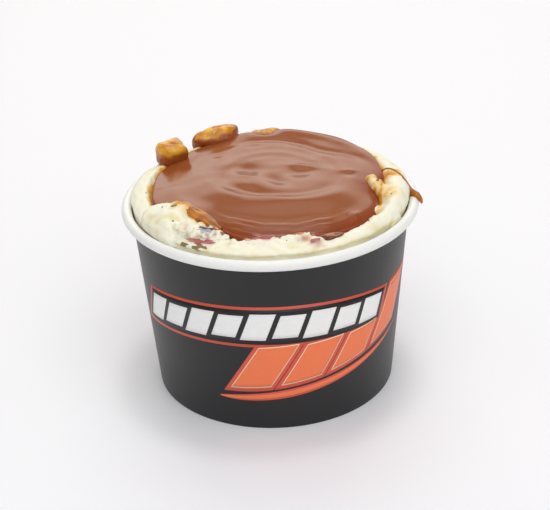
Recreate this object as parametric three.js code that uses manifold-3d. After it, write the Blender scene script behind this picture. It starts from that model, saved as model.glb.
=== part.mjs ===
// A mashed potato side in a paper food cup: a heap of mash with a pool of gravy on it, and glazed
// potato chunks at its edge.
// Millimetres, +Z up. The origin is the centre of the cup's foot on the table, and the front faces -Y.
import * as THREE from 'three';
import { mergeVertices } from 'three/addons/utils/BufferGeometryUtils.js';
import Module from 'manifold-3d';

const wasm = await Module();
wasm.setup();

// ---- driving dimensions: the cup ---------------------------------------------------------------
const BOARD = 0.5; // thickness of the coated paper board
const FOOT_RADIUS = 37.5; // outside of the wall at the table
const WALL_TAPER = 0.0904; // outward lean of the wall, mm of radius for each mm of height
const CURL_RADIUS = 1.6; // outside radius of the rolled rim's section
const CURL_CENTRE_R = 44.27; // where the middle of the roll runs
const CURL_CENTRE_Z = 59.0;
const CURL_END_DEG = -118; // where the free edge of the roll stops, short of the wall
const RIM_TOP = CURL_CENTRE_Z + CURL_RADIUS;
const FLARE_START_Z = 55.5; // the wall leans a little further out above here, into the roll
const BASE_Z = 7.0; // underside of the base disc above the table
const SKIRT_BOARD = 0.4; // the base disc and its turned-down skirt
const HEM_HEIGHT = 6.2; // the wall's foot, folded inwards and up round the skirt
const FOOT_ROUND = 0.25; // the fold's small edge at the table
const SEAM_WIDTH = 8.0; // side seam where the wall's two edges lap, at the back
const SEAM_PROUD = 0.35;
const CURL_STEPS = 6; // facets along the roll's section
const AROUND = 48; // facets round the cup

// ---- driving dimensions: the food (heights are above the rim) ----------------------------------
const GAP = 0.3; // clearance between neighbouring pieces
// Outlines round the heap as a mean value and then the sizes of its waves: sine and cosine of the
// angle, of twice the angle, and so on.
const GRAVY_RADIUS = [35.6, 1.8, 0.2, -0.55, 0.45, -0.55, -0.95];
const GRAVY_EDGE_HEIGHT = [3.8, 3.0, 0.3, 0.8, 0.1]; // the pool climbs towards the back
const CREST_RADIUS = [39.3, 0.4, 0.25, 0.05, 0.3]; // top of the ring of mash round the pool
const CREST_HEIGHT = [3.4, 0.9, 0.7, -0.25, 0.85];
const GRAVY_CENTRE_HEIGHT = 6.2;
const GRAVY_DEPTH = 4.2; // assumed depth at the middle
const GRAVY_LIP = 1.7; // thickness at the edge
const MASH_OUTER = 42.1; // where the mash leaves the wall at the rim
const FOOD_AROUND = 52; // facets round the heap and the pool
const LUMP_ROWS = 7; // facets of a lump from pole to pole, and round it
const LUMP_AROUND = 13;

// Lumps of the heap, as soft ellipsoids: centre x, y and height, half sizes, turn about Z in degrees.
const TORN_LUMP = [
  { at: [-30.6, -19.8, 1.5], half: [7.2, 9.0, 5.2], turn: 18 },
  { at: [-27.0, -18.0, 2.6], half: [5.6, 6.0, 4.3], turn: -20 },
  { at: [-22.0, -22.8, 0.5], half: [6.0, 5.6, 3.8], turn: -30 },
  { at: [-27.4, -25.2, 0.2], half: [7.2, 5.9, 3.8], turn: -38 },
  { at: [-21.6, -29.8, -0.9], half: [6.8, 4.0, 2.7], turn: -34 },
];
const RIGHT_CURL = [
  { at: [31.5, -2.4, 3.5], half: [2.4, 3.5, 2.6], turn: 15 },
  { at: [33.8, -6.4, 2.9], half: [3.0, 3.6, 2.6], turn: 30 },
  { at: [36.8, -9.8, 1.5], half: [3.8, 5.4, 3.1], turn: 25 },
  { at: [38.4, -3.2, 2.0], half: [3.5, 6.4, 3.6], turn: 6 },
  { at: [37.4, 4.8, 2.0], half: [3.2, 5.2, 3.2], turn: -14 },
];
// Potato chunks: centre, half sizes, turn, and how boxy the corners are (1 is round).
const CHUNKS = {
  potato_chunk_left: { at: [-30.8, 21.9, 6.2], half: [4.8, 4.5, 3.9], turn: 27, boxy: 0.6, seed: 1.3 },
  potato_chunk_middle: { at: [-16.5, 34.4, 5.4], half: [8.8, 4.2, 3.9], turn: 24, boxy: 0.9, seed: 4.1 },
  potato_chunk_back: { at: [0.4, 37.7, 3.9], half: [6.6, 3.3, 2.7], turn: 2, boxy: 0.8, seed: 7.7 },
};

// ---- solids --------------------------------------------------------------------------------------
// Outside radius of the cup's wall at height z.
function wallRadius(z) {
  return FOOT_RADIUS + WALL_TAPER * z;
}

function toManifold(geometry) {
  const bare = geometry.clone();
  bare.deleteAttribute('normal');
  bare.deleteAttribute('uv');
  const merged = mergeVertices(bare, 1e-4);
  const vertProperties = new Float32Array(merged.attributes.position.array);
  const triVerts = new Uint32Array(merged.index.array);
  return new wasm.Manifold(new wasm.Mesh({ numProp: 3, vertProperties, triVerts }));
}

function toGeometry(solid) {
  const { vertProperties, triVerts } = solid.getMesh();
  const geometry = new THREE.BufferGeometry();
  geometry.setAttribute('position', new THREE.BufferAttribute(new Float32Array(vertProperties), 3));
  geometry.setIndex(new THREE.BufferAttribute(new Uint32Array(triVerts), 1));
  geometry.computeVertexNormals();
  return geometry;
}

// Turns a closed outline of [radius, height] points about Z.
function revolve(outline) {
  const points = outline.map(([r, z]) => new THREE.Vector2(r, z));
  const geometry = new THREE.LatheGeometry(points, AROUND);
  geometry.rotateX(Math.PI / 2);
  return toManifold(geometry);
}

// A closed surface from a bottom pole to a top pole. place(row, angle) gives the point of each row
// at each angle; rows 0 and last are single points.
function ringSolid(rows, around, place) {
  const positions = [...place(0, 0)];
  for (let i = 1; i < rows; i += 1) {
    for (let j = 0; j < around; j += 1) {
      positions.push(...place(i, (j / around) * 2 * Math.PI));
    }
  }
  positions.push(...place(rows, 0));
  const top = positions.length / 3 - 1;
  const at = (i, j) => 1 + (i - 1) * around + (j % around);
  const index = [];
  for (let j = 0; j < around; j += 1) {
    index.push(0, at(1, j + 1), at(1, j));
    for (let i = 1; i < rows - 1; i += 1) {
      index.push(at(i, j), at(i, j + 1), at(i + 1, j + 1));
      index.push(at(i, j), at(i + 1, j + 1), at(i + 1, j));
    }
    index.push(at(rows - 1, j), at(rows - 1, j + 1), top);
  }
  const geometry = new THREE.BufferGeometry();
  geometry.setAttribute('position', new THREE.BufferAttribute(new Float32Array(positions), 3));
  geometry.setIndex(index);
  return toManifold(geometry);
}

// Keeps the largest of a cut solid's pieces, so that no sliver is left beside it.
function largest(solid) {
  return solid.decompose().sort((a, b) => b.volume() - a.volume())[0];
}

function part(name, solid, color, roughness) {
  const material = new THREE.MeshStandardMaterial({ color, roughness, metalness: 0 });
  const mesh = new THREE.Mesh(toGeometry(solid), material);
  mesh.name = name;
  return mesh;
}

// ---- the cup -------------------------------------------------------------------------------------
// The wall in section: folded foot round the skirt's channel, leaning wall, and the rim rolled
// outwards into an open curl.
function wallOutline() {
  const channel = 2 * GAP + SKIRT_BOARD;
  const hemOut = (z) => wallRadius(z) - BOARD - channel;
  const outline = [
    [hemOut(0) - BOARD, FOOT_ROUND],
    [hemOut(0) - BOARD + FOOT_ROUND, 0],
    [FOOT_RADIUS - FOOT_ROUND, 0],
    [wallRadius(FOOT_ROUND), FOOT_ROUND],
    [wallRadius(FLARE_START_Z), FLARE_START_Z],
  ];
  const start = Math.PI;
  const end = THREE.MathUtils.degToRad(CURL_END_DEG);
  const onCurl = (radius, k) => {
    const angle = start + ((end - start) * k) / CURL_STEPS;
    return [CURL_CENTRE_R + radius * Math.cos(angle), CURL_CENTRE_Z + radius * Math.sin(angle)];
  };
  for (let k = 0; k <= CURL_STEPS; k += 1) outline.push(onCurl(CURL_RADIUS - BOARD, k));
  for (let k = CURL_STEPS; k >= 0; k -= 1) outline.push(onCurl(CURL_RADIUS, k));
  outline.push([wallRadius(FLARE_START_Z) - BOARD, FLARE_START_Z]);
  outline.push([wallRadius(BOARD) - BOARD, BOARD]);
  outline.push([hemOut(BOARD), BOARD]);
  outline.push([hemOut(HEM_HEIGHT), HEM_HEIGHT]);
  outline.push([hemOut(HEM_HEIGHT) - BOARD, HEM_HEIGHT]);
  outline.push(outline[0]);
  return outline;
}

// The lap of the wall's two edges: a thin strip that leans with the wall at the back.
function seamStrip() {
  const half = SEAM_WIDTH / 2 / FOOT_RADIUS;
  const proud = FOOT_RADIUS + SEAM_PROUD;
  const shape = new THREE.Shape();
  shape.moveTo(proud * Math.cos(-half), proud * Math.sin(-half));
  shape.absarc(0, 0, proud, -half, half, false);
  shape.absarc(0, 0, FOOT_RADIUS - BOARD / 2, half, -half, true);
  const options = { depth: FLARE_START_Z, bevelEnabled: false, curveSegments: 4 };
  const geometry = new THREE.ExtrudeGeometry(shape, options);
  geometry.rotateZ(Math.PI / 2);
  const position = geometry.attributes.position;
  for (let i = 0; i < position.count; i += 1) {
    const lean = wallRadius(position.getZ(i)) / FOOT_RADIUS;
    position.setXY(i, position.getX(i) * lean, position.getY(i) * lean);
  }
  return toManifold(geometry);
}

function cupWall() {
  const shell = revolve(wallOutline());
  return part('cup_wall', shell.add(seamStrip()), 0x2c2c2f, 0.45);
}

// The base is a drawn disc whose skirt turns down into the wall's folded foot.
function cupBase() {
  const skirtOut = (z) => wallRadius(z) - BOARD - GAP;
  const foot = BOARD + GAP;
  const top = BASE_Z + SKIRT_BOARD;
  const outline = [
    [0, BASE_Z],
    [skirtOut(BASE_Z) - SKIRT_BOARD, BASE_Z],
    [skirtOut(foot) - SKIRT_BOARD, foot],
    [skirtOut(foot), foot],
    [skirtOut(BASE_Z) - 0.05, BASE_Z],
    [skirtOut(BASE_Z) - 0.2, top],
    [0, top],
  ];
  return part('cup_base', revolve(outline), 0xf4f2ec, 0.55);
}

// ---- the food ------------------------------------------------------------------------------------
// Slow unevenness of about one unit, from three waves round the heap and one across it.
function uneven(angle, across, seed) {
  const slow = Math.sin(3 * angle + seed) + 0.7 * Math.sin(5 * angle + 2.1 * seed);
  const quick = 0.5 * Math.sin(8 * angle + 3.7 * seed) + 0.6 * Math.sin(2.4 * across + 4 * angle + seed);
  return (slow + quick) / 2.2;
}

// Value at an angle of an outline given as its mean and its waves.
function waves(angle, [mean, ...sizes]) {
  return sizes.reduce((sum, size, i) => {
    const turn = (Math.floor(i / 2) + 1) * angle;
    return sum + size * (i % 2 ? Math.cos(turn) : Math.sin(turn));
  }, mean);
}

function gravyRadius(angle) {
  return waves(angle, GRAVY_RADIUS) + 0.2 * uneven(angle, 0, 2.0);
}

// Height of a soft bump at a place on the pool.
function bump(x, y, [bx, by], size, spread) {
  return size * Math.exp(-((x - bx) ** 2 + (y - by) ** 2) / (2 * spread * spread));
}

// Top of the gravy above the rim: a dome that rolls off to the tilted edge, with a spoon's spiral,
// dimples, and rises where a chunk lies under it at the back.
function gravyTop(u, angle) {
  const edge = waves(angle, GRAVY_EDGE_HEIGHT);
  const roll = u ** 3;
  const r = u * gravyRadius(angle);
  const x = r * Math.cos(angle);
  const y = r * Math.sin(angle);
  const spiral = 0.35 * Math.sin(r * 0.72 - angle * 1.0) * Math.exp(-((r - 15) ** 2) / 90);
  const dimples = bump(x, y, [-6.5, 9.1], 0.55, 2.6) + bump(x, y, [9.6, 3.8], 0.5, 2.4)
    + bump(x, y, [-4.4, -7.6], 0.5, 2.8);
  const rises = bump(x, y, [-2.0, 33.5], 0.7, 5.5) + bump(x, y, [12.5, 31.0], 0.4, 4.5);
  return GRAVY_CENTRE_HEIGHT + (edge - GRAVY_CENTRE_HEIGHT) * roll + spiral - dimples + rises;
}

// The pool of gravy, grown by a clearance when it cuts the mash. Its section runs from the
// underside's middle out to the lip, up it, and back over the top. Each row is a share of the
// pool's radius and how far the row lies under the surface there.
function gravySolid(grow) {
  const depthAt = (u) => GRAVY_LIP + (GRAVY_DEPTH - GRAVY_LIP) * (1 - u ** 4);
  const under = [0, 0.45, 0.8, 0.96].map((u) => [u, depthAt(u) + grow]);
  const lip = [[1, 0.65 * GRAVY_LIP], [1, 0.3 * GRAVY_LIP]];
  const over = [0.985, 0.93, 0.83, 0.71, 0.59, 0.47, 0.36, 0.25, 0.13, 0].map((u) => [u, -grow]);
  const section = [...under, ...lip, ...over];
  return ringSolid(section.length - 1, FOOD_AROUND, (i, angle) => {
    const [u, drop] = section[i];
    const radius = u * (gravyRadius(angle) + grow);
    const height = RIM_TOP + gravyTop(u, angle) - drop;
    return [radius * Math.cos(angle), radius * Math.sin(angle), height];
  });
}

// A soft lump: an ellipsoid, squarer as boxy falls under 1, with a slightly uneven skin.
function lumpSolid({ at, half, turn, boxy = 1, seed = 0.6 }, grow) {
  const yaw = THREE.MathUtils.degToRad(turn);
  const round = (value) => Math.sign(value) * Math.abs(value) ** boxy;
  return ringSolid(LUMP_ROWS, LUMP_AROUND, (i, angle) => {
    const lift = (i / LUMP_ROWS - 0.5) * Math.PI;
    const pole = i === 0 || i === LUMP_ROWS;
    const swell = 1 + (pole ? 0 : 0.05 * uneven(angle, 3 * lift, seed));
    const flat = pole ? 0 : round(Math.cos(lift));
    const x = (half[0] * swell + grow) * flat * round(Math.cos(angle));
    const y = (half[1] * swell + grow) * flat * round(Math.sin(angle));
    const z = (half[2] + grow) * round(Math.sin(lift));
    return [
      at[0] + x * Math.cos(yaw) - y * Math.sin(yaw),
      at[1] + x * Math.sin(yaw) + y * Math.cos(yaw),
      RIM_TOP + at[2] + z,
    ];
  });
}

// Several lumps joined into one solid.
function joinLumps(lumps, grow) {
  return lumps.map((lump) => lumpSolid(lump, grow)).reduce((all, one) => all.add(one));
}

function lumpsSolid(grow) {
  return joinLumps([...TORN_LUMP, ...RIGHT_CURL], grow);
}

function chunksSolid(grow) {
  return joinLumps(Object.values(CHUNKS), grow);
}

// The room the food may fill: inside the wall by the clearance, then past the roll and over it.
function foodRoom() {
  const floor = BASE_Z + SKIRT_BOARD + GAP;
  const inside = (z) => wallRadius(z) - BOARD - GAP;
  const clear = CURL_RADIUS + GAP;
  const outline = [[0, floor], [inside(floor), floor], [inside(FLARE_START_Z), FLARE_START_Z]];
  for (const degrees of [180, 150, 120, 95]) {
    const angle = THREE.MathUtils.degToRad(degrees);
    outline.push([CURL_CENTRE_R + clear * Math.cos(angle), CURL_CENTRE_Z + clear * Math.sin(angle)]);
  }
  const ceiling = RIM_TOP + 20;
  outline.push([CURL_CENTRE_R, ceiling], [0, ceiling]);
  return revolve(outline);
}

// The ring of mash round the pool: its top's radius and height, and where it leaves the wall.
function crest(angle) {
  return {
    radius: waves(angle, CREST_RADIUS) + 0.3 * uneven(angle, 0, 3.1),
    z: RIM_TOP + waves(angle, CREST_HEIGHT) + 0.4 * uneven(angle, 0, 5.2),
    outer: MASH_OUTER + 0.5 * uneven(angle, 0, 8.8),
  };
}

// The heap without its lumps. Its section goes out over the floor and up the wall, rounds over
// inside the rim as a quarter of a squared ellipse, and dips under the gravy.
function heapSolid() {
  const wall = [[0, BASE_Z], [1, BASE_Z], [1, FLARE_START_Z]].map(
    ([share, z]) => () => [share * wallRadius(z), z],
  );
  const leave = RIM_TOP - 1.2;
  const shoulder = [0, 1, 2, 3, 4, 5, 6].map((k) => (angle) => {
    const turn = (k / 6) * (Math.PI / 2);
    const top = crest(angle);
    const radius = top.radius + (top.outer - top.radius) * Math.cos(turn) ** 0.8;
    return [radius, leave + (top.z - leave) * Math.sin(turn) ** 0.8];
  });
  const dip = [[0.98, 0.4], [0.9, 1.2], [0.5, 1.2], [0, 1.2]].map(
    ([u, under]) => (angle) => [u * gravyRadius(angle), RIM_TOP + gravyTop(u, angle) - under],
  );
  const section = [...wall, ...shoulder, ...dip];
  return ringSolid(section.length - 1, FOOD_AROUND, (i, angle) => {
    const [radius, z] = section[i](angle);
    return [radius * Math.cos(angle), radius * Math.sin(angle), z];
  });
}

function mash() {
  const well = gravySolid(GAP);
  const heap = heapSolid().subtract(well).add(lumpsSolid(0));
  const seated = heap.intersect(foodRoom()).subtract(chunksSolid(GAP));
  return part('mash', largest(seated), 0xf3ecd0, 0.6);
}

function gravy() {
  const pool = gravySolid(0).subtract(lumpsSolid(GAP)).subtract(chunksSolid(GAP));
  return part('gravy', largest(pool), 0xa06b54, 0.25);
}

const cup = new THREE.Group();
cup.add(cupWall(), cupBase());
const food = new THREE.Group();
food.add(mash(), gravy());
for (const [name, chunk] of Object.entries(CHUNKS)) {
  food.add(part(name, lumpSolid(chunk, 0), 0xd0903c, 0.3));
}
const side = new THREE.Group();
side.add(cup, food);

export default side;
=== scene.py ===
"""A mashed potato side in its paper food cup: black printed board cup, heaped mash, a pool of brown
gravy, and glazed potato chunks at its edge. Lengths in the sections are millimetres, +Z up, with the
origin at the centre of the cup's foot; the meshes are in metres."""
import itertools
import math

import bpy
import numpy as np
from mathutils import Matrix, Vector
from mathutils.bvhtree import BVHTree


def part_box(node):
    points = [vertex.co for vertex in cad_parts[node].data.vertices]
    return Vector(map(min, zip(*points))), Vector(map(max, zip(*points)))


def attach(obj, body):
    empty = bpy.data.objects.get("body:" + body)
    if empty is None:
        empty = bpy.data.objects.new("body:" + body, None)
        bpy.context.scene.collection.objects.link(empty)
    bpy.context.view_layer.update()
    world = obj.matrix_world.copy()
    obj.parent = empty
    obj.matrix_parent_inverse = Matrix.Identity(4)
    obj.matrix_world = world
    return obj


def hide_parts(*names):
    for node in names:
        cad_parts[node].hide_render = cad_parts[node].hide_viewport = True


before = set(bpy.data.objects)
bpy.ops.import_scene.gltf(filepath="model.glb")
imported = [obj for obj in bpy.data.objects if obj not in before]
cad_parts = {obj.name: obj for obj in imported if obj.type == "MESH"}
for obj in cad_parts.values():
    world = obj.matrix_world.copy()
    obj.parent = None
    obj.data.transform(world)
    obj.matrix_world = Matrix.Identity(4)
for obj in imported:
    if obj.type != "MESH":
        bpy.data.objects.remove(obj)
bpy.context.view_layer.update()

# ---- Camera --------------------------------------------------------------------------------------
# A long lens a little under half a metre in front of the cup, looking down on the heap and rolled
# a touch to the right.
MM = 0.001
CAMERA_AIM = (0.88, 0.0, 39.99)
CAMERA_DISTANCE = 471.5
CAMERA_ELEVATION = math.radians(26.98)
CAMERA_ROLL = math.radians(-2.16)

lens = bpy.data.cameras.new("camera")
lens.sensor_width = 36.0
lens.lens = 98.2
lens.clip_start = 0.01
camera = bpy.data.objects.new("camera", lens)
bpy.context.scene.collection.objects.link(camera)
bpy.context.scene.camera = camera
tilt = Matrix.Rotation(math.pi / 2 - CAMERA_ELEVATION, 4, "X")
back_off = Vector((0, -math.cos(CAMERA_ELEVATION), math.sin(CAMERA_ELEVATION))) * CAMERA_DISTANCE
place = Matrix.Translation((Vector(CAMERA_AIM) + back_off) * MM)
camera.matrix_world = place @ tilt @ Matrix.Rotation(CAMERA_ROLL, 4, "Z")

# ---- Cup wall --------------------------------------------------------------------------------------
# Paperboard with a thin polyethylene coat, cut as a fan, wrapped to a cone and heat sealed at a lap
# down the back. Its foot is folded in and up round the base's skirt, its mouth rolled outwards.
# The outside is printed black up to the roll; the inside and the roll are the bare white coat.
RIM_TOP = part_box("cup_wall")[1].z / MM
BOARD = 0.5
FOOT_RADIUS = 37.5
WALL_TAPER = 0.0904
CURL_RADIUS = 1.6
CURL_CENTRE_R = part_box("cup_wall")[1].x / MM - CURL_RADIUS
CURL_CENTRE_Z = RIM_TOP - CURL_RADIUS
CURL_END = math.radians(-118)
FLARE_START_Z = 55.5
BASE_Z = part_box("cup_base")[1].z / MM - 0.4
SKIRT_BOARD = 0.4
SKIRT_GAP = 0.15
HEM_HEIGHT = 6.2
FOOT_ROUND = 0.25
SEAM_ANGLE = math.radians(97)
SEAM_RAMP = math.radians(11)
SEAM_PROUD = 0.35
SEAM_EDGE = 0.0012  # half the turn over which the lap steps down, in radians
AROUND = 320


def srgb(code):
    """Linear RGBA of an sRGB hex colour: c / 12.92 up to 0.04045, above it ((c + 0.055) / 1.055) ^ 2.4."""
    c = np.array([int(code[i:i + 2], 16) for i in (1, 3, 5)]) / 255
    linear = np.where(c <= 0.04045, c / 12.92, ((c + 0.055) / 1.055) ** 2.4)
    return (*linear.tolist(), 1.0)


def add(material, kind, inputs=None, **settings):
    """Adds one node with its settings; inputs are values to set or sockets to link, by socket name."""
    tree = material.node_tree
    made = tree.nodes.new(kind)
    for name, value in settings.items():
        setattr(made, name, value)
    for key, value in (inputs or {}).items():
        if isinstance(value, bpy.types.NodeSocket):
            tree.links.new(value, made.inputs[key])
        else:
            made.inputs[key].default_value = value
    return made


def new_material(name):
    """An empty node-based material."""
    material = bpy.data.materials.new(name)
    material.use_nodes = True
    material.node_tree.nodes.clear()
    return material


def build(name, points, faces, *materials, smooth=True):
    """A mesh object from points in millimetres and lists of face corners."""
    mesh = bpy.data.meshes.new(name)
    mesh.from_pydata((np.asarray(points) * MM).tolist(), [], faces)
    mesh.validate()
    if smooth:
        mesh.shade_smooth()
    for material in materials:
        mesh.materials.append(material)
    made = bpy.data.objects.new(name, mesh)
    bpy.context.scene.collection.objects.link(made)
    return made


def grid_faces(rows, cols, wrap_rows=False, wrap_cols=False):
    """Corners of the quads of a grid of points numbered row by row; a wrapped side joins end to start."""
    i, j = np.meshgrid(
        np.arange(rows if wrap_rows else rows - 1), np.arange(cols if wrap_cols else cols - 1), indexing="ij")
    down, right = (i + 1) % rows, (j + 1) % cols
    corners = [i * cols + j, i * cols + right, down * cols + right, down * cols + j]
    return np.stack(corners, -1).reshape(-1, 4)


def arc(centre_r, centre_z, radius, start, end, steps):
    """Points of a circle's arc in a section: centre plus radius times (cos, sin) of the angle."""
    angle = np.linspace(start, end, steps)
    return np.stack([centre_r + radius * np.cos(angle), centre_z + radius * np.sin(angle)], 1)


def line(start, end, steps):
    """Points evenly spaced along a straight line in a section."""
    return np.linspace(start, end, steps)


def wall_radius(z):
    """Outside radius of the cone: the foot's radius plus the taper times the height."""
    return FOOT_RADIUS + WALL_TAPER * z


hem_out = wall_radius(0) - BOARD - 2 * SKIRT_GAP - SKIRT_BOARD
hem_lean = WALL_TAPER * HEM_HEIGHT
outside_rows = [
    arc(hem_out - BOARD + FOOT_ROUND, FOOT_ROUND, FOOT_ROUND, math.pi, 1.5 * math.pi, 5),
    arc(FOOT_RADIUS - FOOT_ROUND, FOOT_ROUND, FOOT_ROUND, 1.5 * math.pi, 2 * math.pi, 6),
    line((wall_radius(0.5), 0.5), (wall_radius(FLARE_START_Z), FLARE_START_Z), 24),
]
white_rows = [
    arc(CURL_CENTRE_R, CURL_CENTRE_Z, CURL_RADIUS - BOARD, math.pi, CURL_END, 22),
    arc(CURL_CENTRE_R, CURL_CENTRE_Z, CURL_RADIUS, CURL_END, math.pi, 26),
    line((wall_radius(FLARE_START_Z) - BOARD, FLARE_START_Z), (wall_radius(BOARD) - BOARD, BOARD), 12),
    line((hem_out, BOARD), (hem_out + hem_lean, HEM_HEIGHT), 3),
    line((hem_out - BOARD + hem_lean, HEM_HEIGHT), (hem_out - BOARD + 0.02, 0.6), 3),
]
printed = sum(len(rows) for rows in outside_rows)
section = np.vstack(outside_rows + white_rows)

# The lap lifts the outer edge by one board: a slow ramp up to the edge, then a step down.
turns = np.linspace(0, 2 * math.pi, AROUND, endpoint=False)
turns = np.sort(np.append(turns, [SEAM_ANGLE - SEAM_EDGE, SEAM_ANGLE + SEAM_EDGE]))
lap = np.clip((turns - (SEAM_ANGLE - SEAM_RAMP)) / SEAM_RAMP, 0, 1)
lap = np.where(turns < SEAM_ANGLE, lap * lap * (3 - 2 * lap), 0) * SEAM_PROUD
on_outside = (np.arange(len(section)) < printed) & (section[:, 1] > 0.4)
fade = np.where(on_outside, np.clip((FLARE_START_Z + 1 - section[:, 1]) / 3, 0, 1), 0)
radius = section[:, :1] + fade[:, None] * lap[None, :]
wall_points = np.stack(
    [radius * np.cos(turns), radius * np.sin(turns), np.repeat(section[:, 1:], len(turns), 1)], -1)

# Black flexographic ink under a water-based varnish on fibre board: satin, so a broad soft shine,
# with the faint cloudiness of the fibres (about 0.6 mm across) in its gloss and its level.
black_print = new_material("varnished black ink on paperboard")
where = add(black_print, "ShaderNodeTexCoord").outputs["Object"]
fibres = add(black_print, "ShaderNodeTexNoise", {
    "Vector": where, "Scale": 1600.0, "Detail": 3.0}).outputs["Fac"]
clouds = add(black_print, "ShaderNodeTexNoise", {
    "Vector": where, "Scale": 90.0, "Detail": 4.0}).outputs["Fac"]
ink = add(black_print, "ShaderNodeMix", {
    "Factor": clouds, "A": srgb("#0E0E10"), "B": srgb("#151518")}, data_type="RGBA").outputs["Result"]
gloss = add(black_print, "ShaderNodeMapRange", {
    "Value": fibres, "To Min": 0.33, "To Max": 0.47}).outputs["Result"]
grain = add(black_print, "ShaderNodeBump", {
    "Height": fibres, "Strength": 0.12, "Distance": 0.00003}).outputs["Normal"]
surface = add(black_print, "ShaderNodeBsdfPrincipled", {
    "Base Color": ink, "Roughness": gloss, "Normal": grain,
    "IOR": 1.5}).outputs["BSDF"]
add(black_print, "ShaderNodeOutputMaterial", {"Surface": surface})

# Bleached board under a polyethylene film: white, a little warm, with a low even sheen.
white_coat = new_material("polyethylene-coated white board")
where = add(white_coat, "ShaderNodeTexCoord").outputs["Object"]
fibres = add(white_coat, "ShaderNodeTexNoise", {
    "Vector": where, "Scale": 900.0, "Detail": 4.0}).outputs["Fac"]
coat = add(white_coat, "ShaderNodeMix", {
    "Factor": fibres, "A": srgb("#F3F2EE"), "B": srgb("#FAFAF7")}, data_type="RGBA").outputs["Result"]
grain = add(white_coat, "ShaderNodeBump", {
    "Height": fibres, "Strength": 0.1, "Distance": 0.00004}).outputs["Normal"]
surface = add(white_coat, "ShaderNodeBsdfPrincipled", {
    "Base Color": coat, "Roughness": 0.38, "IOR": 1.5, "Normal": grain,
    "Subsurface Weight": 0.08, "Subsurface Scale": 0.001}).outputs["BSDF"]
add(white_coat, "ShaderNodeOutputMaterial", {"Surface": surface})

quads = grid_faces(len(section), len(turns), wrap_rows=True, wrap_cols=True)
cup_wall = build("cup_wall_board", wall_points.reshape(-1, 3), quads.tolist(), white_coat, black_print)
step_column = np.searchsorted(turns, SEAM_ANGLE) - 1
at_step = (quads[:, 0] % len(turns)) == step_column
black_faces = (quads[:, 0] // len(turns) < printed) & ~(at_step & (quads[:, 0] // len(turns) > 10))
cup_wall.data.polygons.foreach_set("material_index", black_faces.astype(np.int32))
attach(cup_wall, "root")
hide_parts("cup_wall")

# ---- Cup base --------------------------------------------------------------------------------------
# A disc of the same board, drawn to a shallow tray whose skirt turns down into the wall's folded
# foot, where heat and pressure seal it. It stands a few millimetres off the table.
DISC_TOP = BASE_Z + SKIRT_BOARD


def shell(rows, bottom, top):
    """Points and faces of a closed skin: rings of points from low to high, closed by two pole points."""
    count, cols = rows.shape[:2]
    points = np.vstack([rows.reshape(-1, 3), bottom, top])
    low, high = len(points) - 2, len(points) - 1
    j = np.arange(cols)
    k = (j + 1) % cols
    last = (count - 1) * cols
    fans = np.vstack([
        np.stack([np.full(cols, low), k, j], 1),
        np.stack([last + j, last + k, np.full(cols, high)], 1)])
    return points, grid_faces(count, cols, wrap_cols=True).tolist() + fans.tolist()


def turned(section, count):
    """Rings of points of a section turned about Z: (r cos a, r sin a, z) for each angle a."""
    angle = np.linspace(0, 2 * math.pi, count, endpoint=False)
    r, z = section[:, :1], section[:, 1:]
    return np.stack([r * np.cos(angle), r * np.sin(angle), np.repeat(z, count, 1)], -1)


skirt_out = wall_radius(BASE_Z) - BOARD - SKIRT_GAP
skirt_foot = wall_radius(0.8) - BOARD - SKIRT_GAP
base_section = np.vstack([
    line((8, BASE_Z + 0.25), (skirt_out - 6, BASE_Z + 0.25), 6),
    line((skirt_out - 5, BASE_Z), (skirt_out - SKIRT_BOARD - 0.5, BASE_Z), 4),
    arc(skirt_out - SKIRT_BOARD - 0.5, BASE_Z - 0.5, 0.5, math.pi / 2, 0, 5),
    line((skirt_foot - SKIRT_BOARD, 0.9), (skirt_foot - SKIRT_BOARD, 0.8), 2),
    line((skirt_foot, 0.8), (skirt_foot, 0.9), 2),
    arc(skirt_out - 0.9, DISC_TOP - 0.9, 0.9, 0, math.pi / 2, 6),
    line((skirt_out - 5, DISC_TOP), (skirt_out - 6, DISC_TOP + 0.2), 2),
    line((skirt_out - 8, DISC_TOP + 0.2), (8, DISC_TOP + 0.2), 5),
])
base_points, base_faces = shell(turned(base_section, 160), (0, 0, BASE_Z + 0.25), (0, 0, DISC_TOP + 0.2))
cup_base = build("cup_base_disc", base_points, base_faces, white_coat)
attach(cup_base, "root")
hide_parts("cup_base")

# ---- Printed stripes ---------------------------------------------------------------------------------
# A plain stripe pattern in place of a maker's print: a band of white slanted blocks with a
# red-orange outline, wide slanted orange bars below it, and an underline that sweeps up to the
# right. Each is one pass of ink on the black, built a few hundredths of a millimetre thick.
INK = 0.02


def on_wall(s, z, lift):
    """Points on the cone at arc length s from the front and height z, standing proud by lift."""
    r = wall_radius(z) + lift
    angle = s / wall_radius(z)
    return np.stack([r * np.sin(angle), -r * np.cos(angle), z + 0 * s], -1)


def slab(outer, inner):
    """A closed sheet between two grids of points of one size: both faces and the strip round the rim."""
    rows, cols = outer.shape[:2]
    points = np.vstack([outer.reshape(-1, 3), inner.reshape(-1, 3)])
    front = grid_faces(rows, cols)
    index = np.arange(rows * cols).reshape(rows, cols)
    rim = np.concatenate([index[0, :-1], index[:-1, -1], index[-1, :0:-1], index[:0:-1, 0]])
    after = np.roll(rim, -1)
    sides = np.stack([after, rim, rim + rows * cols, after + rows * cols], 1)
    return points, np.vstack([front, front[:, ::-1] + rows * cols, sides]).tolist()


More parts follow.
